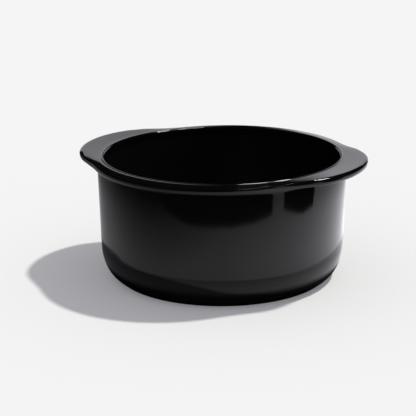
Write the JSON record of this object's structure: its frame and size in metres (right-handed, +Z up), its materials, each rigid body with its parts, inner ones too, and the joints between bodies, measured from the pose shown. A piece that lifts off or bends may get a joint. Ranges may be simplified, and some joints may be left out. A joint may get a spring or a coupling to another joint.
{
  "type": "cast iron dutch oven",
  "caption": "Round black enamelled cast-iron Dutch oven pot, open at the top, with a rounded base, a foot ring and a flat rim flange that widens into opposite ear handles.",
  "frame": {"origin": "under the middle of the pot, on the surface that the foot ring stands on", "axes": "+Z up along the pot's axis, X from ear to ear, Y across the pot"},
  "size_m": [0.296, 0.2682, 0.1257],
  "materials": {
    "cast_iron": "matte",
    "outer_enamel": "gloss",
    "rim_enamel": "gloss",
    "well_enamel": "gloss",
    "base_enamel": "gloss"
  },
  "bodies": {
    "root": {"iron_casting": "cast_iron", "outer_enamel": "outer_enamel", "rim_enamel": "rim_enamel", "well_enamel": "well_enamel", "base_enamel": "base_enamel"}
  },
  "joints": []
}
